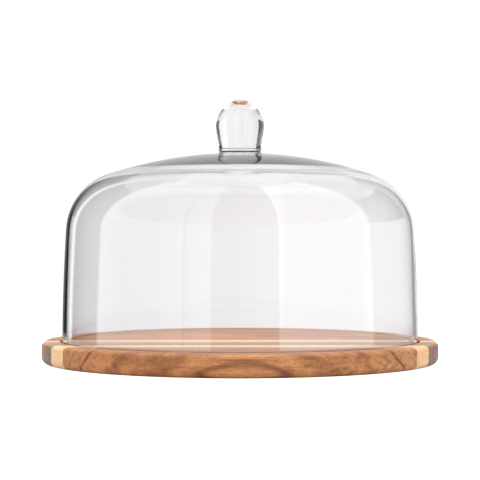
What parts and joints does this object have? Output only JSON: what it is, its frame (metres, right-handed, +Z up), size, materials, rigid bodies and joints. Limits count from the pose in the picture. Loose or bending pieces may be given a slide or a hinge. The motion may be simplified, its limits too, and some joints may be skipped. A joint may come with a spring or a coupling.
{
  "type": "cheese dome",
  "caption": "Clear glass cloche with a solid round glass knob, standing in the routed groove of a round edge-glued wooden serving board.",
  "frame": {"origin": "middle of the board's underside, on the surface that the board stands on", "axes": "+Z up along the axis of the board and the cloche; the board's staves run along X, with the widest front stave towards -Y"},
  "size_m": [0.33, 0.33, 0.2193],
  "materials": {
    "heartwood": "oiled acacia heartwood, fine grain, satin",
    "striped_heartwood": "oiled acacia heartwood with close grey-brown stripes, satin",
    "sapwood": "oiled acacia sapwood, pale straw, satin",
    "clear_glass": "clear blown glass, fire-polished"
  },
  "bodies": {
    "board": {"front_stave": "heartwood", "wide_sapwood_stave": "sapwood", "striped_heartwood_stave": "striped_heartwood", "narrow_sapwood_stave": "sapwood", "centre_heartwood_stave": "heartwood", "inner_rear_stave": "heartwood", "outer_rear_stave": "heartwood", "back_stave": "heartwood"},
    "cloche": {"glass_dome": "clear_glass", "glass_knob": "clear_glass"}
  },
  "joints": [
    {"name": "dome_lift", "type": "slide", "parent": "board", "child": "cloche", "axis": [0, 0, 1], "range_m": [0, 0.2]}
  ]
}
